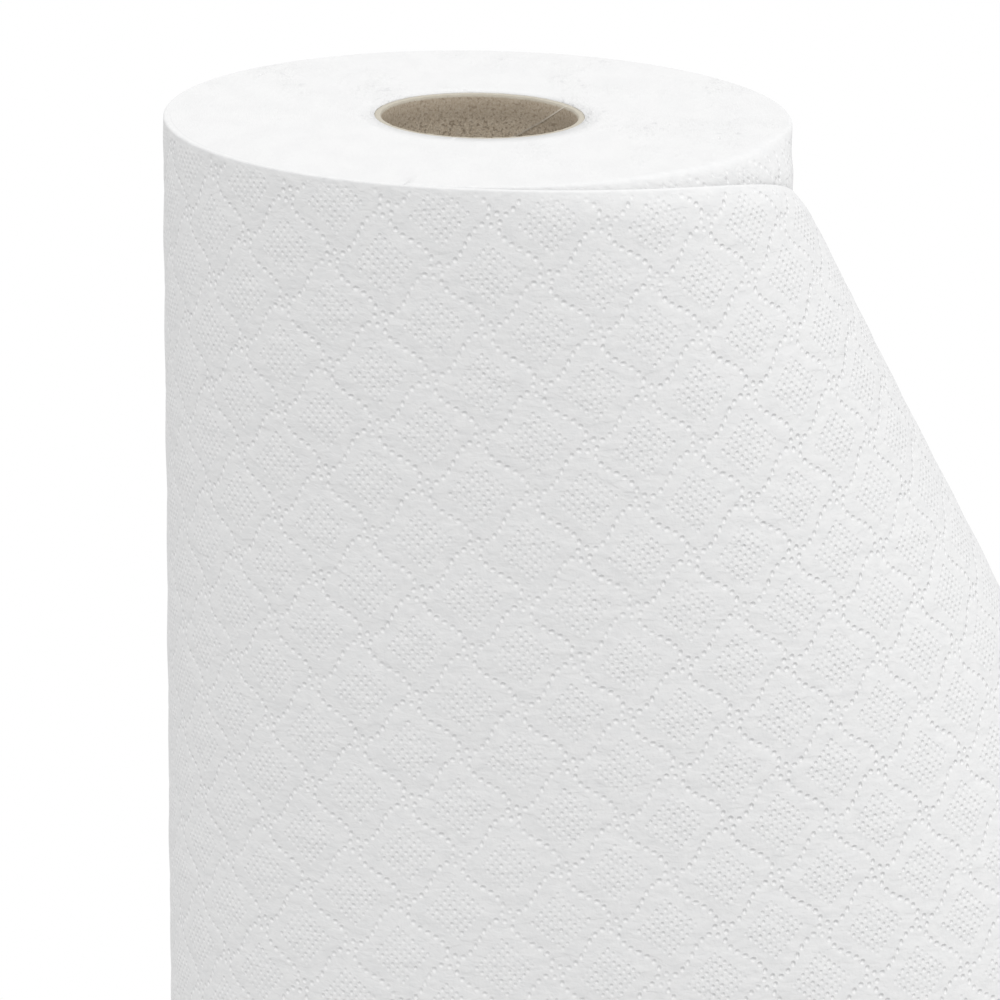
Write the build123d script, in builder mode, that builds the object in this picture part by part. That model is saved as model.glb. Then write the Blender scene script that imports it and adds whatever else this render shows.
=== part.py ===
from build123d import *
import math
import os

# Exam table paper roll, standing on one end, with its last turn loosened.
# Millimetres and degrees. The axis is Z, and the lower end face lies at Z = 0.

# Wound roll
roll_diameter = 120.0
web_width = 500.0
turn_thickness = 0.5

# Cardboard core
core_bore = 38.0
core_wall = 1.2

# Loosened last turn: the paper leaves the roll along one upright line and opens
# out as a cone, whose tip lies on that line, above the roll
lift_angle = -103.0
tip_height = 135.0
loose_length = 220.0

# Where the loosened turn grows out of the roll: its hold in the step, its insets from the
# roll's outside and top, and the air between it and the turn under it
held_length = 1.0
outer_inset = 0.02
top_inset = 0.05
turn_gap = 0.1

# Bend of the cone: how far it turns sideways for each degree swept in the flat paper, at
# these angles from the lift line
lift_bend_ratio = 0.5
corner_angle = 34.5
corner_bend_ratio = 5.6
slack_angle = 36.5
slack_end_angle = 43.0
slack_bend_ratio = 0.5
tail_angle = 49.0
tail_bend_ratio = 2.0

# Fineness of the cone's straight lines, and of the rows and columns its face passes through
line_step = 0.25
steepest_line = 75.0
column_count = 56
row_count = 26
face_tolerance = 0.002

# Sizes that follow
roll_radius = roll_diameter / 2
core_radius = core_bore / 2 + core_wall
lift_direction = Vector(1, 0, 0).rotate(Axis.Z, lift_angle)
lift_plane = Plane(origin=(0, 0, 0), x_dir=lift_direction, z_dir=(0, 0, 1))
tip = lift_direction * (roll_radius - outer_inset) + Vector(0, 0, web_width - top_inset + tip_height)
step_depth = outer_inset + turn_thickness + turn_gap
bend_stages = [
    (0.0, lift_bend_ratio),
    (corner_angle, corner_bend_ratio),
    (slack_angle, slack_bend_ratio),
    (slack_end_angle, slack_bend_ratio),
    (tail_angle, tail_bend_ratio),
]


def bend_at(angle):
    """Sideways bend of the cone at an angle from the lift line, blended between the stages."""
    for (start, first), (end, last) in zip(bend_stages, bend_stages[1:]):
        if angle <= end:
            return first + (last - first) * (angle - start) / (end - start)
    return tail_bend_ratio


def cone_lines():
    """Directions of the cone's straight lines, each one turned on from the line before it."""
    step = math.radians(line_step)
    line = Vector(0, 0, -1)
    heading = lift_plane.y_dir
    lines = [line]
    for index in range(round(steepest_line / line_step)):
        inward = heading.cross(line)
        turn = step * bend_at((index + 0.5) * line_step)
        onward = heading * math.cos(step) - line * math.sin(step)
        line = line * math.cos(step) + heading * math.sin(step)
        heading = onward * math.cos(turn) + inward * math.sin(turn)
        lines.append(line)
    return lines


def loose_point(lines, along, below):
    """Place of a point of the loose paper, from its lengths along the web and below the top edge."""
    drop = below + tip_height
    if along <= 0:
        return tip - Vector(0, 0, drop) + lift_plane.y_dir * along
    place = math.degrees(math.atan2(along, drop)) / line_step
    index = int(place)
    share = place - index
    line = lines[index] * (1 - share) + lines[index + 1] * share
    return tip + line.normalized() * math.hypot(along, drop)


def loose_face():
    """Outer face of the loosened turn, from its hold in the roll to its straight cut end."""
    lines = cone_lines()
    spacing = loose_length / column_count
    columns = [-held_length] + [spacing * column for column in range(column_count + 1)]
    rows = []
    for row in range(row_count + 1):
        below = web_width * row / row_count
        rows.append([loose_point(lines, along, below) for along in columns])
    return Face.make_surface_from_array_of_points(rows, tol=face_tolerance)


# Core: a plain cardboard tube as long as the paper is wide
with BuildPart() as core:
    with BuildSketch(Plane.XY):
        Circle(core_radius)
        Circle(core_bore / 2, mode=Mode.SUBTRACT)
    extrude(amount=web_width)
core.part.label = "core"

# Paper: the loosened turn, cut level where it meets the table, and the wound turns. Their
# outline is a spiral of two half circles, whose closing step holds the loosened turn
with BuildPart() as paper_roll:
    thicken(loose_face(), amount=-turn_thickness)
    split(bisect_by=Plane.XY, keep=Keep.TOP)
    with BuildSketch(lift_plane):
        with BuildLine():
            CenterArc((-step_depth / 4, 0), roll_radius - step_depth * 3 / 4, 0, 180)
            CenterArc((step_depth / 4, 0), roll_radius - step_depth / 4, 180, 180)
            Line((roll_radius, 0), (roll_radius - step_depth, 0))
        make_face()
        Circle(core_radius, mode=Mode.SUBTRACT)
    extrude(amount=web_width)
paper_roll.part.label = "paper_roll"

os.makedirs("parts", exist_ok=True)
export_step(core.part, "parts/core.step")
export_step(paper_roll.part, "parts/paper_roll.step")
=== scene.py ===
"""Dresses the exam table paper roll: embossed paper, its loosened turn and the cardboard core."""
import logging
import math
from dataclasses import dataclass
from enum import Enum
from itertools import accumulate

import bpy
import numpy as np
from mathutils import Matrix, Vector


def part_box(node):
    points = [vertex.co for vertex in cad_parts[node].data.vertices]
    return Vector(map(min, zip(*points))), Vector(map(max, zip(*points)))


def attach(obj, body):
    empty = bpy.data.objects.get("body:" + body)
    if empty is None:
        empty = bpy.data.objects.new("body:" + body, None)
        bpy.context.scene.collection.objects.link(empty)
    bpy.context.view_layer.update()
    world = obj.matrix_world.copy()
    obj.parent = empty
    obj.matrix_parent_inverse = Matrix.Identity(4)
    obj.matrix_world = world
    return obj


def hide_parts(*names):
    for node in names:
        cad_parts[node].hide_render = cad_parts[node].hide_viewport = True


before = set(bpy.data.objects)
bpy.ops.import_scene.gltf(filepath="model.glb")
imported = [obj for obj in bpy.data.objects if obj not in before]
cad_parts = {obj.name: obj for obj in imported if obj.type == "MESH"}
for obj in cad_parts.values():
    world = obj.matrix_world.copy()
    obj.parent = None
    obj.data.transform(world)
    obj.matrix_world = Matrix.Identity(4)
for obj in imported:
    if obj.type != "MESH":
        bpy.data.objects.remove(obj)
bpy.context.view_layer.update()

logging.basicConfig(level=logging.INFO, format="%(message)s")
log = logging.getLogger("paper_roll")

Array = np.ndarray
Material = bpy.types.Material
Node = bpy.types.Node
Object = bpy.types.Object
Socket = bpy.types.NodeSocket
Pair = tuple[float, float]
Triple = tuple[float, float, float]
Colour = Triple
Sockets = tuple[Socket, Socket]
Value = float | Colour | Socket

MM = 0.001
ROLL_RADIUS = 60.0 * MM
BORE_RADIUS = 19.0 * MM
WEB_MAP = "web"
BODY = "root"
ROLL_NODE = "paper_roll"
CORE_NODE = "core"


class Slot(Enum):
    """The record's material slots."""

    PAPER = "embossed_paper"
    BOARD = "core_board"


# Shapes

def smooth(low: float, high: float, value: Array) -> Array:
    """Rises from 0 at low to 1 at high with level ends: 3x^2 - 2x^3 of the clipped share."""
    share = np.clip((value - low) / (high - low), 0.0, 1.0)
    return share * share * (3.0 - 2.0 * share)


def wrapped(value: Array) -> Array:
    """Signed distance to the nearest whole number: the value less its rounding."""
    return value - np.round(value)


def rounding(radius: float, depth: Array) -> Array:
    """How far a quarter round of a radius draws a face in, at a depth from the edge."""
    left = radius - np.clip(depth, 0.0, radius)
    return radius - np.sqrt(radius**2 - left**2)


@dataclass(frozen=True)
class Ripple:
    """Gentle unevenness: plane waves of about one length, in random directions, added up."""

    height: float
    length: float
    seed: int
    waves: int = 9
    share: float = 0.25
    shortest: float = 0.7
    longest: float = 1.5

    def swell(self, first: Array, second: Array) -> Array:
        """Sum of the waves.

        Args:
            first: First coordinate, in metres.
            second: Second coordinate, in metres.

        Returns:
            Shares of the ripple's height, mostly between -1 and 1.
        """
        draw = np.random.default_rng(self.seed)
        turn, phase = draw.uniform(0.0, math.tau, (2, self.waves, 1, 1))
        length = self.length * draw.uniform(self.shortest, self.longest, (self.waves, 1, 1))
        first, second = np.broadcast_arrays(first, second)
        along = first * np.cos(turn) + second * np.sin(turn)
        return self.share * np.sin(math.tau / length * along + phase).sum(0)

    def both(self, first: Array, second: Array) -> Array:
        """Heights on both sides of 0."""
        return self.height * self.swell(first, second)

    def above(self, first: Array, second: Array) -> Array:
        """Heights from 0 to the full height."""
        return self.height * (0.5 + 0.5 * np.clip(self.swell(first, second), -1.0, 1.0))


def unit(vectors: Array) -> Array:
    """Vectors along the last axis, each divided by its length."""
    return vectors / np.linalg.norm(vectors, axis=-1, keepdims=True)


def enclosed(points: Array, quads: Array) -> float:
    """Volume inside a closed mesh, positive where its faces point outwards: its pyramids' sum."""
    first, second, third, fourth = (points[quads[:, corner]] for corner in range(4))
    return float(np.sum(np.cross(third - first, fourth - second) * (first + third)) / 12.0)


def grid_quads(rows: Array, columns: Array, width: int) -> Array:
    """Quads between neighbouring rows and columns of vertices numbered row by row.

    Args:
        rows: Row numbers in order, with the first repeated at the end where they close.
        columns: Column numbers in order, likewise.
        width: Vertices in a row.

    Returns:
        Vertex numbers, one quad in each row of the array.
    """
    number = rows[:, None] * width + columns[None, :]
    corners = [number[:-1, :-1], number[:-1, 1:], number[1:, 1:], number[1:, :-1]]
    return np.stack(corners, -1).reshape(-1, 4)


def add_object(name: str, data: bpy.types.ID) -> Object:
    """A new object in the scene.

    Args:
        name: Its name.
        data: Its mesh, lamp or camera.

    Returns:
        The object, at the origin.
    """
    made = bpy.data.objects.new(name, data)
    bpy.context.scene.collection.objects.link(made)
    return made


def make_piece(name: str, points: Array, quads: Array, web: Array, ends: Array, crisp: Array,
               finishes: list[Material]) -> Object:
    """A mesh object at the origin, smooth-shaded but for its crisp faces.

    Args:
        name: Name of the object and of its mesh.
        points: Vertices, in metres.
        quads: Vertex numbers of each face.
        web: Map coordinates of each face's corners.
        ends: Whether each face belongs to a cut end, which has the second finish.
        crisp: Whether each face has sharp edges round it.
        finishes: Materials.

    Returns:
        The object.
    """
    if enclosed(points, quads) < 0.0:
        quads, web = quads[:, ::-1], web[:, ::-1]
    mesh = bpy.data.meshes.new(name)
    mesh.vertices.add(len(points))
    mesh.vertices.foreach_set("co", points.astype(np.float32).ravel())
    mesh.loops.add(quads.size)
    mesh.loops.foreach_set("vertex_index", quads.astype(np.int32).ravel())
    mesh.polygons.add(len(quads))
    mesh.polygons.foreach_set("loop_start", np.arange(0, quads.size, 4, dtype=np.int32))
    mesh.polygons.foreach_set("material_index", ends.astype(np.int32))
    mesh.polygons.foreach_set("use_smooth", ~crisp)
    layer = mesh.uv_layers.new(name=WEB_MAP)
    layer.data.foreach_set("uv", web.astype(np.float32).ravel())
    for finish in finishes:
        mesh.materials.append(finish)
    mesh.update(calc_edges=True)
    mesh.validate()
    return add_object(name, mesh)


# Node graphs

@dataclass
class Graph:
    """Short words for the nodes of a material or the world."""

    tree: bpy.types.NodeTree

    def node(self, kind: str, **settings: object) -> Node:
        """A new node.

        Args:
            kind: The node's type.
            settings: Values of its properties.

        Returns:
            The node.
        """
        made = self.tree.nodes.new(kind)
        for key, value in settings.items():
            setattr(made, key, value)
        return made

    def put(self, socket: Socket, value: Value) -> None:
        """Sets a socket to a value, or links another socket to it.

        Args:
            socket: Input of a node.
            value: Number, opaque colour, or output of another node.
        """
        if isinstance(value, Socket):
            self.tree.links.new(value, socket)
        else:
            socket.default_value = (*value, 1.0) if isinstance(value, tuple) else value

    def fed(self, made: Node, *values: Value) -> Socket:
        """A node's result for its inputs.

        Args:
            made: The node.
            values: Values of its first inputs, in order.

        Returns:
            The node's first output.
        """
        for socket, value in zip(made.inputs, values):
            self.put(socket, value)
        return made.outputs[0]

    def math(self, operation: str, *values: Value) -> Socket:
        """Result of one step of arithmetic."""
        return self.fed(self.node("ShaderNodeMath", operation=operation), *values)

    def total(self, *values: Value) -> Socket:
        """Sum of several values."""
        return list(accumulate(values, lambda left, right: self.math("ADD", left, right)))[-1]

    def times(self, first: Value, second: Value) -> Socket:
        """Product of two values."""
        return self.math("MULTIPLY", first, second)

    def wrapped(self, value: Value) -> Socket:
        """Signed distance to the nearest whole number."""
        return self.math("WRAP", value, 0.5, -0.5)

    def reach(self, first: Value, second: Value) -> Socket:
        """Length of the diagonal over two sides: the root of the sum of their squares."""
        return self.math("SQRT", self.total(self.times(first, first), self.times(second, second)))

    def turned(self, first: Value, second: Value, angle: float) -> Sockets:
        """A place's two parts on axes that are turned by an angle in radians."""
        cosine, sine = math.cos(angle), math.sin(angle)
        return (self.total(self.times(first, cosine), self.times(second, sine)),
                self.total(self.times(second, cosine), self.times(first, -sine)))

    def blend(self, value: Value, low: float, high: float, start: float, end: float) -> Socket:
        """Goes smoothly from start, where the value is low, to end, where it is high."""
        made = self.node("ShaderNodeMapRange", interpolation_type="SMOOTHSTEP", clamp=True)
        return self.fed(made, value, low, high, start, end)

    def chance(self, *values: Value) -> Socket:
        """Even random number from 0 to 1 that belongs to three whole numbers."""
        made = self.node("ShaderNodeTexWhiteNoise", noise_dimensions="3D")
        return self.fed(made, self.vector(*values))

    def vector(self, *values: Value) -> Socket:
        """Vector of three values."""
        return self.fed(self.node("ShaderNodeCombineXYZ"), *values)

    def parts(self, vector: Socket) -> tuple[Socket, Socket, Socket]:
        """Three values of a vector: those of the node that its first value comes from."""
        return tuple(self.fed(self.node("ShaderNodeSeparateXYZ"), vector).node.outputs)

    def cover(self, share: Value, first: Value, last: Value) -> Socket:
        """A colour covered by another one to a share."""
        return self.fed(self.node("ShaderNodeMixRGB"), share, first, last)


# Finishes

@dataclass(frozen=True, kw_only=True)
class Finish:
    """What all finishes have: a material's name, its roughness and its gloss."""

    name: str
    roughness: float
    gloss: float

    def look(self, graph: Graph) -> Sockets:
        """The finish's colour, and its height in metres."""
        raise NotImplementedError

    def material(self) -> Material:
        """The finished material, whose normal is bent by the height.

        Returns:
            The material.
        """
        made = bpy.data.materials.new(self.name)
        made.use_nodes = True
        graph = Graph(made.node_tree)
        tone, height = self.look(graph)
        bump = graph.node("ShaderNodeBump")
        for name, value in (("Strength", 1.0), ("Distance", 1.0), ("Height", height)):
            graph.put(bump.inputs[name], value)
        shader = made.node_tree.nodes["Principled BSDF"]
        for name, value in (("Base Color", tone), ("Normal", bump.outputs[0]),
                            ("Roughness", self.roughness), ("Specular IOR Level", self.gloss)):
            graph.put(shader.inputs[name], value)
        return made


@dataclass(frozen=True)
class Grain:
    """Noise: its scale in waves for each metre, its detail, and the two levels of its mask."""

    scale: float
    detail: float
    levels: Pair = (0.0, 1.0)

    def noise(self, graph: Graph, place: Socket) -> Socket:
        """The noise at a place, from 0 to 1. The node's second input isn't used in 3-D."""
        return graph.fed(graph.node("ShaderNodeTexNoise"), place, 0.0, self.scale, self.detail)

    def mask(self, graph: Graph, place: Socket, most: float = 1.0) -> Socket:
        """Goes from 0, where the noise is low, to the most, where it is high."""
        return graph.blend(self.noise(graph, place), *self.levels, 0.0, most)


@dataclass(frozen=True)
class Dot:
    """A dot's radius and depth in millimetres, how unevenly it is pressed, and the strength of its
    painted light and shade.
    """

    radius: float
    depth: float
    swing: float
    painted_light: float


@dataclass(frozen=True)
class Emboss:
    """Wavy chains of pressed dots on a square lattice, with a field of fine dots in each cell.

    Lengths are in millimetres along the web and below its top edge. Places in a cell, the
    chains' sway and the dots' pitches are in cells, and a dot's parts are in its radius.
    """

    origin: Pair = (12.7, 16.0)
    first_side: Pair = (9.65, 10.6)
    second_side: Pair = (10.45, -10.03)
    side: float = 14.4
    sway: float = 0.065
    chain_pitch: float = 0.114
    knot_reach: float = 0.0856
    knot_turn: float = math.radians(22.7)
    field_pitch: float = 0.088
    field_turn: float = math.radians(9.0)
    dots_beside: float = 3.0
    seeds: tuple[float, ...] = (20.0, 40.0, 9.0, 5.0)
    large: Dot = Dot(radius=0.64, depth=0.155, swing=0.5, painted_light=1.0)
    fine: Dot = Dot(radius=0.50, depth=0.095, swing=0.9, painted_light=0.65)
    bottom: float = 0.05
    # Each dot's painted light and shade is full out to this share of its radius and gone at its
    # brim.
    painted_light_middle: float = 0.15
    brim: float = 0.95
    lip_end: float = 1.3
    lip_share: float = 0.14
    # How far below each dot its painted highlight lies, in millimetres.
    painted_highlight_drop: float = 0.42
    groove_and_painted_shade_reach: float = 0.09
    groove_depth: float = 0.035
    edge_fade: Pair = (0.3, 2.4)
    furrow_width: float = 1.6
    furrow_depth: float = 0.11
    pillow_height: float = 0.12
    sags: tuple[Ripple, ...] = (Ripple(0.10 * MM, 55.0 * MM, 3), Ripple(0.035 * MM, 17.0 * MM, 5))

    def turns(self) -> tuple[Pair, Pair]:
        """Inverse of the matrix of a cell's sides.

        Returns:
            Its rows, which turn millimetres into cells.
        """
        (ax, ay), (bx, by) = self.first_side, self.second_side
        area = ax * by - ay * bx
        return (by / area, -bx / area), (-ay / area, ax / area)

    def relief(self, along: Array, below: Array) -> Array:
        """Soft relief of the web, outward.

        A furrow that falls off as a bell curve from each wavy chain, a pillow as a product of
        sines in each cell, and slow ripples.

        Args:
            along: Lengths along the web, in metres.
            below: Lengths below its top edge, in metres.

        Returns:
            Heights in metres.
        """
        x, y = along / MM - self.origin[0], below / MM - self.origin[1]
        first, second = (x * one + y * two for one, two in self.turns())
        across = wrapped(first - self.sway * np.sin(math.tau * second))
        beside = wrapped(second + self.sway * np.sin(math.tau * first))
        share = self.side / self.furrow_width
        furrow = np.maximum(np.exp(-(across * share)**2), np.exp(-(beside * share)**2))
        pillow = np.sin(math.pi * across)**2 * np.sin(math.pi * beside)**2
        slow = sum(sag.both(along, below) for sag in self.sags)
        return MM * (self.pillow_height * pillow - self.furrow_depth * furrow) + slow

    def mark(self, graph: Graph, dot: Dot, across: Socket, onward: Socket,
             luck: Socket) -> Sockets:
        """One pressed dot: a bell with a raised lip round it.

        Args:
            graph: Graph of the material.
            dot: The dot's kind.
            across: One part of the way from its middle, in cells.
            onward: The other part.
            luck: Its own random number.

        Returns:
            Its height in metres, and the mask of its painted light and shade, a bell that falls off
            from its middle.
        """
        far = graph.times(graph.reach(across, onward), self.side)
        bottom, middle, brim, end = (part * dot.radius for part in
                                     (self.bottom, self.painted_light_middle, self.brim, self.lip_end))
        outer = graph.blend(far, brim, end, 1.0, 0.0)
        force = graph.math("MULTIPLY_ADD", luck, dot.swing, 1.0 - 0.5 * dot.swing)
        deep = dot.depth * MM
        press = graph.times(graph.blend(far, bottom, brim, -deep, self.lip_share * deep), outer)
        painted_light = graph.blend(far, middle, brim, dot.painted_light, 0.0)
        return graph.times(press, force), graph.times(painted_light, force)

    def nearest(self, graph: Graph, part: Socket, pitch: float) -> Sockets:
        """Nearest dot of a row that lies evenly on both sides of its middle dot.

        Args:
            graph: Graph of the material.
            part: Place along the row from its middle.
            pitch: Pitch of its dots.

        Returns:
            The dot's number from the middle, and the way from the dot to the place.
        """
        step = graph.math("ROUND", graph.times(part, 1.0 / pitch))
        step = graph.math("MINIMUM", step, self.dots_beside)
        step = graph.math("MAXIMUM", step, -self.dots_beside)
        return step, graph.math("MULTIPLY_ADD", step, -pitch, part)

    def chain(self, graph: Graph, line: Socket, other: Socket, seed: float) -> Sockets:
        """The dots of a wavy chain on one side of a cell, with the groove that joins them.

        Args:
            graph: Graph of the material.
            line: Place across the chains.
            other: Place along them.
            seed: Sets the two directions' random numbers apart.

        Returns:
            Their height in metres, and their mask.
        """
        across = graph.wrapped(line)
        onward = graph.wrapped(graph.math("ADD", other, 0.5))
        step, rest = self.nearest(graph, onward, self.chain_pitch)
        luck = graph.chance(graph.math("ROUND", line), graph.math("FLOOR", other),
                            graph.math("ADD", step, seed))
        press, painted_light = self.mark(graph, self.large, across, rest, luck)
        groove_and_painted_shade = graph.blend(graph.math("ABSOLUTE", across), 0.0, self.groove_and_painted_shade_reach,
                             -self.groove_depth * MM, 0.0)
        return graph.total(press, groove_and_painted_shade), painted_light

    def knot(self, graph: Graph, first: Socket, second: Socket) -> Sockets:
        """The four dots around each crossing: one on each half axis, turned together.

        Args:
            graph: Graph of the material.
            first: Place along the cells' first side.
            second: Place along their second side.

        Returns:
            Their height in metres, and their mask.
        """
        u, v = (graph.math("ABSOLUTE", part) for part in
                graph.turned(graph.wrapped(first), graph.wrapped(second), self.knot_turn))
        out = graph.math("SUBTRACT", graph.math("MAXIMUM", u, v), self.knot_reach)
        luck = graph.chance(graph.math("ROUND", first), graph.math("ROUND", second), self.seeds[2])
        return self.mark(graph, self.large, out, graph.math("MINIMUM", u, v), luck)

    def field(self, graph: Graph, first: Socket, second: Socket) -> Sockets:
        """The fine dots in a cell, on a grid turned about its middle.

        Args:
            graph: Graph of the material.
            first: Place along the cells' first side.
            second: Place along their second side.

        Returns:
            Their height in metres, and their mask.
        """
        x, y = (graph.wrapped(graph.math("ADD", part, 0.5)) for part in (first, second))
        nearest = [self.nearest(graph, part, self.field_pitch)
                   for part in graph.turned(x, y, self.field_turn)]
        count = 2.0 * self.dots_beside + 1.0
        numbers = (graph.math("MULTIPLY_ADD", graph.math("FLOOR", part), count, step)
                   for part, (step, _) in zip((first, second), nearest))
        luck = graph.chance(*numbers, self.seeds[3])
        return self.mark(graph, self.fine, nearest[0][1], nearest[1][1], luck)

    def marks(self, graph: Graph, web: Socket, drop: float = 0.0) -> Sockets:
        """The whole pattern, which fades out towards the web's top edge.

        Args:
            graph: Graph of the material.
            web: The piece's web map.
            drop: How far lower the pattern lies, in millimetres.

        Returns:
            Its height in metres, and the mask of its dots' painted light and shade.
        """
        along, below, _ = graph.parts(web)
        x = graph.math("MULTIPLY_ADD", along, 1.0 / MM, -self.origin[0])
        y = graph.math("MULTIPLY_ADD", below, 1.0 / MM, -self.origin[1] - drop)
        start, full = self.edge_fade
        fade = graph.blend(below, start * MM, full * MM, 0.0, 1.0)
        first, second = (graph.total(graph.times(x, one), graph.times(y, two))
                         for one, two in self.turns())
        swing = [graph.times(graph.math("SINE", graph.times(part, math.tau)), self.sway)
                 for part in (first, second)]
        marks = (
            self.chain(graph, graph.math("SUBTRACT", first, swing[1]), second, self.seeds[0]),
            self.chain(graph, graph.math("ADD", second, swing[0]), first, self.seeds[1]),
            self.knot(graph, first, second),
            self.field(graph, first, second),
        )
        height, mask = (graph.total(*parts) for parts in zip(*marks))
        return graph.times(height, fade), graph.times(mask, fade)


@dataclass(frozen=True, kw_only=True)
class EmbossedPaper(Finish):
    """Soft white crepe paper, with a painted highlight below its dots and painted shade in their
    middle.
    """

    name: str = "embossed_paper"
    roughness: float = 0.9
    gloss: float = 0.2
    pale: Colour = (0.855, 0.855, 0.855)
    dull: Colour = (0.822, 0.824, 0.827)
    # Painted highlight on each dot's lower side, and painted shade in its middle.
    painted_highlight: Colour = (0.94, 0.94, 0.94)
    painted_dent_shade: Colour = (0.76, 0.76, 0.765)
    painted_dent_shade_share: float = 0.5
    gains: Pair = (0.88, 1.3)
    gain_reach: Pair = (10.0 * MM, 70.0 * MM)
    stretch: Triple = (0.5, 1.0, 1.0)
    shade: Grain = Grain(420.0, 4.0, (0.3, 0.7))
    crepe: Grain = Grain(900.0, 3.0)
    crepe_height: float = 0.10 * MM
    wave: Grain = Grain(330.0, 1.5)
    wave_height: float = 0.22 * MM
    flakes: tuple[tuple[Grain, float], ...] = (
        (Grain(240.0, 2.5, (0.46, 0.54)), 0.045 * MM),
        (Grain(560.0, 2.5, (0.46, 0.54)), 0.027 * MM),
    )
    emboss: Emboss = Emboss()

    def look(self, graph: Graph) -> Sockets:
        """The finish's colour and height.

        Crepe is fine even noise, slow waves, and flakes: noise drawn out along the web that
        is raised by a step where it is above a half. The dots and waves are flatter on the
        wound turns than on the loosened one.

        Args:
            graph: Graph of the material.

        Returns:
            Colour, and height in metres.
        """
        web = graph.node("ShaderNodeUVMap", uv_map=WEB_MAP).outputs[0]
        drawn = graph.vector(*map(graph.times, graph.parts(web), self.stretch))
        crepe = graph.times(self.crepe.noise(graph, web), self.crepe_height)
        wave = graph.times(self.wave.noise(graph, drawn), self.wave_height)
        flakes = (grain.mask(graph, drawn, height) for grain, height in self.flakes)
        pattern, painted_dent_shade_mask = self.emboss.marks(graph, web)
        # The same dots a little lower: the mask of the painted highlight on each dot's lower side.
        painted_highlight_mask = self.emboss.marks(graph, web, self.emboss.painted_highlight_drop)[1]
        tone = graph.cover(self.shade.mask(graph, web), self.dull, self.pale)
        # Painted shade in the dots' middle, then the painted highlight below them.
        tone = graph.cover(graph.times(painted_dent_shade_mask, self.painted_dent_shade_share), tone, self.painted_dent_shade)
        tone = graph.cover(graph.math("MINIMUM", painted_highlight_mask, 1.0), tone, self.painted_highlight)
        gain = graph.blend(graph.parts(web)[0], *self.gain_reach, *self.gains)
        return tone, graph.total(graph.times(graph.total(pattern, wave), gain), crepe, *flakes)


@dataclass(frozen=True, kw_only=True)
class EdgePaper(Finish):
    """The wound turns' cut edges: one close white face with small fibres, flecks and dents.

    It is rougher towards the patches' heading, and away from it a line of painted shade near its
    rim marks the gap round the outermost turn.
    """

    name: str = "paper_edges"
    roughness: float = 0.95
    gloss: float = 0.1
    radius: float = ROLL_RADIUS
    pale: Colour = (0.848, 0.848, 0.848)
    dull: Colour = (0.77, 0.77, 0.775)
    squeeze: Triple = (1.0, 0.5, 1.0)
    turn_pitch: float = 0.5 * MM
    turn_height: float = 0.006 * MM
    fibres: Grain = Grain(650.0, 4.0)
    fibre_height: float = 0.45 * MM
    patches: Grain = Grain(70.0, 2.0, (0.45, 0.65))
    patch_heading: Pair = (0.6, 0.8)
    patch_reach: Pair = (-36.0 * MM, -4.0 * MM)
    patch_least: float = 0.1
    patch_rough: float = 1.3
    plain_rough: float = 0.35
    flecks: Grain = Grain(520.0, 4.0, (0.56, 0.68))
    clouds: Grain = Grain(170.0, 4.0, (0.35, 0.65))
    cloud_share: float = 0.25
    stray: Grain = Grain(180.0, 1.0)
    stray_width: float = 0.8 * MM
    # A line of painted shade near the rim, for the gap round the outermost turn.
    painted_shade_inset: float = 0.7 * MM
    painted_shade_width: float = 0.25 * MM
    painted_shade_share: float = 0.7
    groove_and_painted_shade_reach: Pair = (-15.0 * MM, 10.0 * MM)

    def look(self, graph: Graph) -> Sockets:
        """The finish's colour and height: noise for the fibres, and a sine outward for the turns.

        Args:
            graph: Graph of the material.

        Returns:
            Colour, and height in metres.
        """
        parts = graph.parts(graph.node("ShaderNodeTexCoord").outputs["Object"])
        x, y, _ = parts
        place = graph.vector(*map(graph.times, parts, self.squeeze))
        out = graph.reach(x, y)
        back = graph.total(*map(graph.times, (x, y), self.patch_heading))
        back = graph.blend(back, *self.patch_reach, self.patch_least, 1.0)
        patches = graph.times(self.patches.mask(graph, place), back)
        flecks = graph.times(self.flecks.mask(graph, place), patches)
        stray = graph.math("MULTIPLY_ADD", self.stray.noise(graph, place), self.stray_width, out)
        # Painted shade: a dark line near the rim, shown only away from the patches' heading.
        middle = self.radius - self.painted_shade_inset + 0.5 * self.stray_width
        away = graph.math("ABSOLUTE", graph.math("SUBTRACT", stray, middle))
        groove_and_painted_shade = graph.blend(away, 0.0, self.painted_shade_width, self.painted_shade_share, 0.0)
        for part in (x, y):
            groove_and_painted_shade = graph.times(groove_and_painted_shade, graph.blend(part, *self.groove_and_painted_shade_reach, 1.0, 0.0))
        turn = graph.math("SINE", graph.times(out, math.tau / self.turn_pitch))
        rough = graph.math("MULTIPLY_ADD", patches, self.patch_rough * self.fibre_height,
                           self.plain_rough * self.fibre_height)
        height = graph.total(graph.times(turn, self.turn_height),
                             graph.times(self.fibres.noise(graph, place), rough))
        clouds = self.clouds.mask(graph, place, self.cloud_share)
        tone = graph.math("MAXIMUM", graph.math("MAXIMUM", flecks, groove_and_painted_shade), clouds)
        return graph.cover(tone, self.pale, self.dull), height


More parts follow.
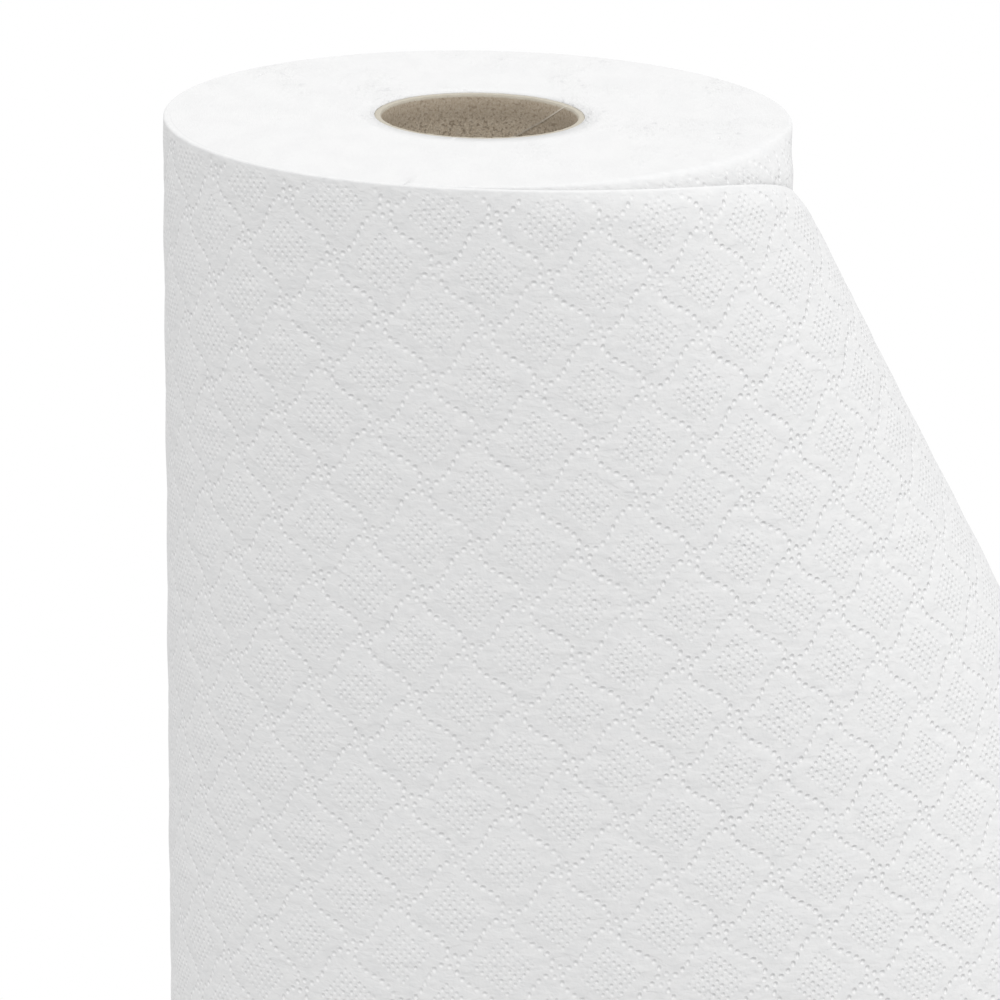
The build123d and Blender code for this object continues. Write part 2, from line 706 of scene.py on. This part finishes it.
@dataclass(frozen=True, kw_only=True)
class Board(Finish):
    """Grey-brown cardboard with pale and dark fibres, a painted highlight on the seam's ply edge,
    and painted shade.
    """

    roughness: float = 0.9
    gloss: float = 0.15
    radius: float = BORE_RADIUS
    ground: Colour = (0.60, 0.515, 0.405)
    pale: Colour = (0.75, 0.675, 0.56)
    dark: Colour = (0.29, 0.235, 0.175)
    edge: Colour = (0.78, 0.74, 0.66)
    worn: Colour = (0.57, 0.53, 0.45)
    fine: Grain = Grain(2600.0, 3.0, (0.40, 0.66))
    coarse: Grain = Grain(1700.0, 2.5, (0.50, 0.68))
    speck_share: float = 0.8
    # Painted highlight on the ply edge at the seam, and painted shade in a band beside the seam.
    seam_width: float = 0.8 * MM
    seam_highlight_share: float = 0.55
    shade_width: float = 14.0 * MM
    shade_share: float = 0.15
    worn_depth: float = 0.7 * MM
    worn_end: float = 1.12 * MM
    # Painted shade towards the bore's top.
    top_shade_share: float = 0.6
    top_shade_reach: Pair = (2.0 * MM, 8.0 * MM)
    fibre_height: float = 0.04 * MM

    def look(self, graph: Graph) -> Sockets:
        """The finish's colour and height: two grains, with the marks of its edges over them.

        Args:
            graph: Graph of the material.

        Returns:
            Colour, and height in metres.
        """
        web = graph.node("ShaderNodeUVMap", uv_map=WEB_MAP).outputs[0]
        turn, down, _ = graph.parts(web)
        place = graph.node("ShaderNodeTexCoord").outputs["Object"]
        fine, coarse = self.fine.noise(graph, place), self.coarse.noise(graph, place)
        tone = graph.cover(graph.blend(fine, *self.fine.levels, 0.0, 1.0), self.ground, self.pale)
        around = math.tau * self.radius
        rubbed = graph.math("MULTIPLY_ADD", fine, self.worn_depth, down)
        for value, low, high, start, end, last in (
                (coarse, *self.coarse.levels, 0.0, self.speck_share, self.dark),
                # Painted shade beside the seam.
                (turn, around - self.shade_width, around, 0.0, self.shade_share, self.dark),
                # Painted shade towards the bore's top.
                (down, *self.top_shade_reach, self.top_shade_share, 0.0, self.dark),
                (rubbed, self.worn_depth, self.worn_end, 1.0, 0.0, self.worn),
                # Painted highlight: the pale colour on the ply edge at the seam.
                (turn, 0.5 * self.seam_width, self.seam_width, self.seam_highlight_share, 0.0, self.edge)):
            tone = graph.cover(graph.blend(value, low, high, start, end), tone, last)
        return tone, graph.times(graph.total(fine, coarse), self.fibre_height)


# Pieces

@dataclass
class WoundRoll:
    """The wound turns: one closed ring whose outside is the web's spiral."""

    height: float
    core_radius: float
    finish: EmbossedPaper = EmbossedPaper()
    edges: EdgePaper = EdgePaper()
    radius: float = ROLL_RADIUS
    lift_angle: float = math.radians(-103.0)
    web_start: float = -13.6 * MM
    step_depth: float = 0.62 * MM
    rim: float = 0.5 * MM
    rim_lead: float = 1.5
    soft_inset: float = 2.4 * MM
    soft_drop: float = 8.0 * MM
    soft_turns: tuple[float, ...] = (15.0, 47.0, 84.0, 100.0)
    soft_reach: float = 40.0 * MM
    slack_most: float = 2.0 * MM
    slack_fall: float = 0.3
    crumple: Ripple = Ripple(0.2 * MM, 8.0 * MM, 31)
    core_gap: float = 0.02 * MM
    dip: Ripple = Ripple(0.10 * MM, 30.0 * MM, 11)
    dip_start: float = 0.25
    step_turn: float = math.radians(50.0)
    full_turn: float = math.radians(283.0)
    full_height: float = 400.0 * MM
    full_slope: float = 0.006
    full_most: float = 0.6 * MM
    full_power: int = 4
    calm_turn: float = math.radians(25.0)
    calm_edge: float = 5.0 * MM
    columns: int = 262
    wall_rows: int = 340
    face_rows: int = 11
    rim_rows: int = 7

    def profile(self) -> tuple[Array, Array, Array]:
        """Rows of the ring's section, from the bore's top edge out, down and in again.

        Returns:
            Each row's share of the way from bore to outside, its draw-in, and its depth.
        """
        share = np.linspace(0.0, 1.0, self.face_rows)[:-1]
        turn = np.linspace(0.0, math.pi / 2.0, self.rim_rows + 1)
        rim_in = self.rim * np.append(self.rim_lead, 1.0 - np.sin(turn))
        rim_down = self.rim * np.append(0.0, 1.0 - np.cos(turn))
        wall = np.linspace(self.rim, self.height - self.rim, self.wall_rows)[1:-1]
        face = np.zeros(share.size)
        below = np.concatenate([face, rim_down, wall, self.height - rim_down[::-1],
                                face + self.height])
        inward = np.concatenate([face, rim_in, np.zeros(wall.size), rim_in[::-1], face])
        shares = np.concatenate([share, np.ones(2 * rim_in.size + wall.size), share[::-1]])
        return shares, inward, below

    def points(self) -> tuple[Array, Array]:
        """Vertices and their map coordinates.

        The outside is one step lower at the lift line, under the loosened turn, and comes up
        smoothly to full size where that turn has left it. There its rim is bent over as a
        quarter ellipse, with slack turns under it. On the side away from it the outer turns
        stand a little fuller with height. The relief is added, less where the loosened turn
        lies over it and towards the ends.

        Returns:
            Vertices as rows, columns and coordinates, and lengths along and below likewise.
        """
        shares, inward, below = self.profile()
        turn = np.linspace(0.0, math.tau, self.columns)[None, :]
        along = self.web_start + self.radius * (turn - math.tau)
        shares, inward, below = shares[:, None], inward[:, None], below[:, None]
        rise, last, fall, end = np.radians(self.soft_turns)
        soft = smooth(rise, last, turn) * (1.0 - smooth(fall, end, turn))
        inset = 1.0 + soft * (self.soft_inset / self.rim - 1.0)
        inward = inward * np.where(below < self.height / 2.0, inset, 1.0)
        drop = soft * (self.soft_drop - self.rim)
        lower = drop * np.clip(1.0 - (below - self.rim) / self.soft_reach, 0.0, 1.0)
        below = np.where(below < self.rim, below * (1.0 + drop / self.rim), below + lower)
        heights = self.height - below
        calm = smooth(0.0, self.calm_turn, turn) * smooth(0.0, self.calm_edge, below)
        calm = calm * smooth(0.0, self.calm_edge, heights)
        outside = self.radius - self.step_depth * (1.0 - smooth(0.0, self.step_turn, turn))
        side = np.clip(np.cos(turn - self.full_turn), 0.0, 1.0)**self.full_power
        fuller = (heights - self.full_height) * self.full_slope
        fuller = side * np.clip(fuller, -self.full_most, self.full_most)
        shoulder = 1.0 - smooth(self.slack_fall, 1.0, below / self.soft_reach)
        shoulder = soft * smooth(0.0, self.soft_drop, below) * shoulder
        slack = self.slack_most + self.crumple.both(along, below)
        outside = outside + fuller + shoulder * slack - inward
        outside = outside + calm * self.finish.emboss.relief(along, below)
        inside = self.core_radius + self.core_gap
        fixed = inside + shares * (self.radius - self.step_depth - self.rim - inside)
        radius = np.where(shares < 1.0, fixed, outside)
        angle = self.lift_angle + turn
        x, y = radius * np.cos(angle), radius * np.sin(angle)
        dip = (shares < 1.0) * smooth(0.0, self.dip_start, shares) * self.dip.above(x, y)
        level = heights - dip * np.where(heights > self.height / 2.0, 1.0, -1.0)
        points = np.stack([x, y, np.broadcast_to(level, x.shape)], -1)
        web = np.stack(np.broadcast_arrays(along, below), -1)
        return points, web

    def build(self) -> Object:
        """The finished piece.

        Returns:
            The object.
        """
        points, web = self.points()
        ended = self.profile()[0] < 1.0
        rows = np.append(np.arange(ended.size), 0)
        columns = np.append(np.arange(self.columns), 0)
        quads = grid_quads(rows, columns, self.columns)
        ends = np.repeat(ended | np.roll(ended, -1), self.columns)
        coordinates = web.reshape(-1, 2)[quads]
        crisp = np.tile(np.arange(self.columns) == self.columns - 1, ended.size)
        crisp[-self.columns:] = True
        piece = make_piece("wound_roll", points.reshape(-1, 3), quads, coordinates, ends, crisp,
                           [self.finish.material(), self.edges.material()])
        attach(piece, BODY)
        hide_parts(ROLL_NODE)
        return piece


@dataclass
class LooseTurn:
    """The loosened last turn: flat paper bent as a cone whose tip is above the roll."""

    height: float
    roll: WoundRoll
    tip_height: float = 135.0 * MM
    length: float = 220.0 * MM
    thickness: float = 0.45 * MM
    held_columns: int = 8
    cover: float = 0.05 * MM
    sink: float = 0.08 * MM
    outer_inset: float = 0.02 * MM
    top_inset: float = 0.05 * MM
    curl_depth: float = 1.1 * MM
    curl_width: float = 6.0 * MM
    curl_start: float = 5.0 * MM
    curl_full: float = 40.0 * MM
    line_step: float = math.radians(0.25)
    steepest_line: float = math.radians(75.0)
    bend_angles: tuple[float, ...] = (0.0, 34.5, 36.5, 43.0, 49.0, 75.0)
    bend_ratios: tuple[float, ...] = (0.5, 5.6, 0.5, 0.5, 2.0, 2.0)
    columns: int = 130
    edge_steps: tuple[float, ...] = (0.0, 0.04, 0.13, 0.28, 0.5)
    drawn_most: float = 0.85

    @property
    def held(self) -> float:
        """Length of the strip that lies on the roll: some of the roll's columns."""
        return self.held_columns * math.tau * self.roll.radius / (self.roll.columns - 1)

    def frames(self) -> tuple[Array, Array]:
        """Directions of the cone's straight lines, and the cone's outward directions along them.

        Each line's frame is the last one turned about its outward direction by the step, and
        then about the line by the step times the bend ratio there.

        Returns:
            Lines and outward directions, one in each row.
        """
        steps = round(self.steepest_line / self.line_step)
        middles = (np.arange(steps) + 0.5) * self.line_step
        bends = self.line_step * np.interp(np.degrees(middles), self.bend_angles, self.bend_ratios)
        cosine, sine = math.cos(self.line_step), math.sin(self.line_step)
        sweep = np.array([[cosine, -sine, 0.0], [sine, cosine, 0.0], [0.0, 0.0, 1.0]])
        turns = np.zeros((steps, 3, 3))
        turns[:, 0, 0] = 1.0
        turns[:, 1, 1] = turns[:, 2, 2] = np.cos(bends)
        turns[:, 1, 2], turns[:, 2, 1] = -np.sin(bends), np.sin(bends)
        lift = self.roll.lift_angle
        line = np.array([0.0, 0.0, -1.0])
        heading = np.array([-math.sin(lift), math.cos(lift), 0.0])
        start = np.stack([line, heading, np.cross(heading, line)], -1)
        frames = np.stack(list(accumulate(sweep @ turns, np.matmul, initial=start)))
        return frames[:, :, 0], -frames[:, :, 2]

    def bent(self, along: Array, below: Array) -> tuple[Array, Array]:
        """Places and outward directions of points of the flat paper.

        A point keeps its distance from the cone's tip, and lies on the line at its own angle
        in the flat paper. Behind the lift line it stays on the roll's circle.

        Args:
            along: Lengths along the web from the lift line, in metres.
            below: Lengths below the top edge, in metres.

        Returns:
            Points and unit vectors, with a last axis of three.
        """
        lift = self.roll.lift_angle
        reach = self.roll.radius - self.outer_inset
        top = self.height - self.top_inset
        tip = np.array([reach * math.cos(lift), reach * math.sin(lift), top + self.tip_height])
        drop = below + self.tip_height
        ahead = np.maximum(along, 0.0)
        place = np.arctan2(ahead, drop) / self.line_step
        knots = np.arange(round(self.steepest_line / self.line_step) + 1)
        lines, outward = (unit(np.stack([np.interp(place, knots, part) for part in parts.T], -1))
                          for parts in self.frames())
        points = tip + lines * np.hypot(ahead, drop)[..., None]
        angle = lift + np.minimum(along, 0.0) / reach
        level = np.zeros(np.broadcast(along, below).shape)
        round_out = np.stack(np.broadcast_arrays(np.cos(angle), np.sin(angle), level), -1)
        ring = reach * round_out + np.stack([level, level, top - below + level], -1)
        behind = np.broadcast_to(along < 0.0, level.shape)[..., None]
        return np.where(behind, ring, points), np.where(behind, round_out, outward)

    def flat_grid(self) -> tuple[Array, Array]:
        """Lengths along and below of the grid's points, close together at the cut edges.

        The held strip's points are the roll's own, so that the two faces don't cross at random.
        The lower edge is drawn up by as much as the bent paper would reach under the table.

        Returns:
            Two arrays of rows and columns.
        """
        edge = np.array(self.edge_steps) * MM
        along = np.concatenate([np.linspace(-self.held, 0.0, self.held_columns + 1)[:-1],
                                np.linspace(0.0, self.length - edge[-1], self.columns),
                                (self.length - edge[::-1])[1:]])
        share = np.linspace(edge[-1], self.height - edge[-1], self.roll.wall_rows)
        below = np.concatenate([edge[:-1], share, (self.height - edge[::-1])[1:]])
        low = self.bent(along, np.full(along.size, self.height))[0][:, 2]
        width = self.height + np.minimum(low, 0.0)
        return np.broadcast_arrays(along[None, :], below[:, None] * width[None, :] / self.height)

    def layers(self) -> tuple[Array, Array, Array]:
        """Outer and inner vertices and their map coordinates.

        The outer face gets the web's relief, a quarter round at its cut edges, and a top
        margin that curls in by a square law. Behind the lift line it sinks evenly into the
        wound turns, so that no edge shows.

        Returns:
            Outer points, inner points, and lengths along and below.
        """
        along, below = self.flat_grid()
        points, outward = self.bent(along, below)
        cover = np.interp(along, (-self.held, 0.0), (-self.sink, self.cover))
        points = points + outward * cover[..., None]
        whole = self.roll.web_start + along
        calm = smooth(0.0, self.roll.calm_edge, below)
        calm = calm * smooth(0.0, self.roll.calm_edge, self.height - below)
        relief = calm * self.roll.finish.emboss.relief(whole, below)
        curl = np.clip(1.0 - below / self.curl_width, 0.0, 1.0)**2
        curl = self.curl_depth * curl * smooth(self.curl_start, self.curl_full, along)
        drawn = sum(rounding(self.thickness, depth)
                    for depth in (below, self.length - along, below[-1:] - below))
        drawn = np.minimum(drawn, self.drawn_most * self.thickness)
        outer = points + outward * (relief - curl - drawn)[..., None]
        inner = points + outward * (relief - curl - self.thickness)[..., None]
        for layer in (outer, inner):
            np.maximum(layer[..., 2], 0.0, out=layer[..., 2])
        return outer, inner, np.stack([whole, below], -1)

    def build(self) -> Object:
        """The finished piece: two layers joined round all four edges.

        Returns:
            The object.
        """
        outer, inner, web = self.layers()
        rows, columns = web.shape[:2]
        face = grid_quads(np.arange(rows), np.arange(columns), columns)
        count = rows * columns
        number = np.arange(count).reshape(rows, columns)
        border = np.concatenate([number[0, :-1], number[:-1, -1], number[-1, :0:-1],
                                 number[:0:-1, 0]])
        following = np.roll(border, -1)
        rim = np.stack([following, border, border + count, following + count], -1)
        quads = np.concatenate([face, face[:, ::-1] + count, rim])
        points = np.concatenate([outer.reshape(-1, 3), inner.reshape(-1, 3)])
        coordinates = np.tile(web.reshape(-1, 2), (2, 1))[quads]
        crisp = np.arange(len(quads)) >= 2 * len(face)
        piece = make_piece("loose_turn", points, quads, coordinates, np.zeros(len(quads)), crisp,
                           [self.roll.finish.material()])
        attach(piece, BODY)
        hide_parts(ROLL_NODE)
        return piece


@dataclass
class CoreTube:
    """The spiral-wound cardboard tube, with the seam of its inner ply winding down the bore."""

    height: float
    radius: float
    bore: float = BORE_RADIUS
    wall_finish: Board = Board(name="core_board")
    end_finish: Board = Board(name="core_board_cut", ground=(0.41, 0.39, 0.335),
                              pale=(0.53, 0.51, 0.45), dark=(0.29, 0.27, 0.23), seam_highlight_share=0.0,
                              shade_share=0.0, top_shade_share=0.0, fibre_height=0.12 * MM)
    pitch: float = 74.0 * MM
    seam_angle: float = math.radians(28.0)
    ply_step: float = 0.03 * MM
    ply_fade: float = math.radians(14.0)
    ply_gap: float = 0.006
    rounding: float = 0.2 * MM
    fray: Ripple = Ripple(0.12 * MM, 2.5 * MM, 21)
    columns: int = 150
    wall_rows: int = 120
    end_rows: int = 5

    def build(self) -> Object:
        """The finished piece.

        Its section is carried round columns that wind down with the seam, and the inner ply's
        radius shrinks near the seam as a bell curve, so that its edge stands up there.

        Returns:
            The object.
        """
        share = np.linspace(0.0, 1.0, self.end_rows)
        wall = np.linspace(self.height - self.rounding, self.rounding, self.wall_rows)
        thickness = self.radius - self.bore - 2.0 * self.rounding
        end_out = self.bore + self.rounding + share * thickness
        radii = np.concatenate([np.full(wall.size, self.bore), end_out,
                                [self.radius, self.radius], end_out[::-1]])
        heights = np.concatenate([wall, np.zeros(share.size), [self.rounding],
                                  [self.height - self.rounding], np.full(share.size, self.height)])
        inner = (np.arange(radii.size) < wall.size)[:, None]
        ended = np.isin(heights, (0.0, self.height))
        turn = np.linspace(0.0, math.tau, self.columns)
        turn[-1] -= self.ply_gap
        depth = (self.height - heights)[:, None]
        angle = self.seam_angle + turn[None, :] + math.tau * depth / self.pitch
        edge = self.ply_step * np.exp(-(turn[None, :] / self.ply_fade)**2)
        radius = radii[:, None] - inner * edge
        x, y = radius * np.cos(angle), radius * np.sin(angle)
        fuzz = ended[:, None] * self.fray.above(x, y)
        level = heights[:, None] - fuzz * np.where(depth < self.height / 2.0, 1.0, -1.0)
        points = np.stack([x, y, np.broadcast_to(level, x.shape)], -1)
        rows = np.append(np.arange(radii.size), 0)
        quads = grid_quads(rows, np.append(np.arange(turn.size), 0), turn.size)
        along = self.bore * np.append(turn, math.tau)
        web = np.stack(np.broadcast_arrays(along[None, :], depth), -1).reshape(-1, 2)
        mapped = grid_quads(rows, np.arange(turn.size + 1), turn.size + 1)
        ends = np.repeat(ended & np.roll(ended, -1), turn.size)
        crisp = np.tile(np.arange(turn.size) == turn.size - 1, radii.size)
        piece = make_piece("core_tube", points.reshape(-1, 3), quads, web[mapped], ends, crisp,
                           [self.wall_finish.material(), self.end_finish.material()])
        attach(piece, BODY)
        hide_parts(CORE_NODE)
        return piece


# Studio

@dataclass(frozen=True)
class Lamp:
    """A distant lamp: its power on a surface that faces it, its spread, and where it stands."""

    name: str
    power: float
    spread: float
    stand: Triple


@dataclass
class Studio:
    """Pale floor, white surroundings, soft lamps, and the camera at the photograph's angle."""

    floor_reach: float = 0.9
    floor_tone: float = 0.8
    floor_fade: Pair = (0.22, 0.60)
    sky: float = 0.785
    ground: float = 0.57
    lamp_set: tuple[Lamp, ...] = (
        Lamp("key", 1.02, math.radians(18.0), (-0.05, -0.35, 0.93)),
        Lamp("right", 0.42, math.radians(50.0), (0.97, -0.15, 0.20)),
        Lamp("right_front", 0.175, math.radians(50.0), (0.866, -0.5, 0.15)),
        Lamp("left", 0.15, math.radians(50.0), (-0.97, -0.12, 0.20)),
    )
    lens: float = 188.6
    camera_place: Triple = (0.0, -0.9836, 0.7206)
    camera_pitch: float = math.radians(16.84)
    camera_yaw: float = math.radians(0.3)
    camera_roll: float = math.radians(0.96)
    farthest: float = 20.0

    def floor(self) -> None:
        """A level square whose middle is pale and whose outside lets the surroundings through."""
        made = bpy.data.materials.new("pale_floor")
        made.use_nodes = True
        graph = Graph(made.node_tree)
        made.node_tree.nodes.remove(made.node_tree.nodes["Principled BSDF"])
        x, y, _ = graph.parts(graph.node("ShaderNodeTexCoord").outputs["Object"])
        away = graph.blend(graph.reach(x, y), *self.floor_fade, 0.0, 1.0)
        pale = graph.fed(graph.node("ShaderNodeBsdfDiffuse"), (self.floor_tone,) * 3)
        clear = graph.node("ShaderNodeBsdfTransparent").outputs[0]
        mixed = graph.fed(graph.node("ShaderNodeMixShader"), away, pale, clear)
        graph.put(made.node_tree.nodes["Material Output"].inputs["Surface"], mixed)
        corners = np.array([[-1, -1, 0], [1, -1, 0], [1, 1, 0], [-1, 1, 0]]) * self.floor_reach
        mesh = bpy.data.meshes.new("floor")
        mesh.from_pydata(corners.tolist(), [], [(0, 1, 2, 3)])
        mesh.materials.append(made)
        piece = add_object("floor", mesh)

    def surroundings(self) -> None:
        """White behind the object, and a plain light that is a little stronger from above."""
        world = bpy.data.worlds.new("surroundings")
        bpy.context.scene.world = world
        world.use_nodes = True
        graph = Graph(world.node_tree)
        back = world.node_tree.nodes["Background"]
        graph.put(back.inputs["Color"], (1.0, 1.0, 1.0))
        up = graph.parts(graph.node("ShaderNodeTexCoord").outputs["Generated"])[2]
        light = graph.blend(up, -1.0, 1.0, self.ground, self.sky)
        path = graph.node("ShaderNodeLightPath")
        seen = graph.total(path.outputs["Is Camera Ray"], path.outputs["Is Glossy Ray"],
                           path.outputs["Is Transmission Ray"])
        seen = graph.math("MINIMUM", seen, 1.0)
        dark = graph.times(light, graph.math("SUBTRACT", 1.0, seen))
        graph.put(back.inputs["Strength"], graph.total(dark, seen))

    def lamps(self) -> None:
        """A soft key from nearly overhead, and weaker broad lamps from the sides."""
        for lamp in self.lamp_set:
            light = bpy.data.lights.new(lamp.name, "SUN")
            light.energy = lamp.power
            light.angle = lamp.spread
            aim = unit(np.array(lamp.stand))
            side = unit(np.cross([0.0, 0.0, 1.0], aim))
            axes = np.stack([side, np.cross(aim, side), aim], -1)
            add_object(lamp.name, light).matrix_world = Matrix(axes.tolist()).to_4x4()

    def camera(self) -> None:
        """The camera, from its place and three turns: yaw, pitch down, and roll about its aim."""
        lens = bpy.data.cameras.new("camera")
        lens.lens = self.lens
        lens.clip_end = self.farthest
        yaw, pitch, roll = self.camera_yaw, self.camera_pitch, self.camera_roll
        ahead = np.array([math.sin(yaw) * math.cos(pitch), math.cos(yaw) * math.cos(pitch),
                          -math.sin(pitch)])
        right = unit(np.cross(ahead, [0.0, 0.0, 1.0]))
        up = np.cross(right, ahead)
        axes = np.stack([math.cos(roll) * right + math.sin(roll) * up,
                         math.cos(roll) * up - math.sin(roll) * right, -ahead], -1)
        camera = add_object("camera", lens)
        camera.matrix_world = Matrix.Translation(self.camera_place) @ Matrix(axes.tolist()).to_4x4()
        bpy.context.scene.camera = camera

    def build(self) -> None:
        """Sets up all of it."""
        bpy.context.scene.view_settings.view_transform = "Standard"
        self.surroundings()
        self.lamps()
        self.floor()
        self.camera()


def main() -> None:
    """Sets up the studio and builds each piece in order, sized from the CAD boxes."""
    Studio().build()
    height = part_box(ROLL_NODE)[1].z
    core_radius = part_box(CORE_NODE)[1].x
    roll = WoundRoll(height=height, core_radius=core_radius)
    makers = (roll, LooseTurn(height=height, roll=roll),
              CoreTube(height=height, radius=core_radius))
    for maker in makers:
        piece = maker.build()
        log.info("%s: %d faces", piece.name, len(piece.data.polygons))


if __name__ == "__main__":
    main()
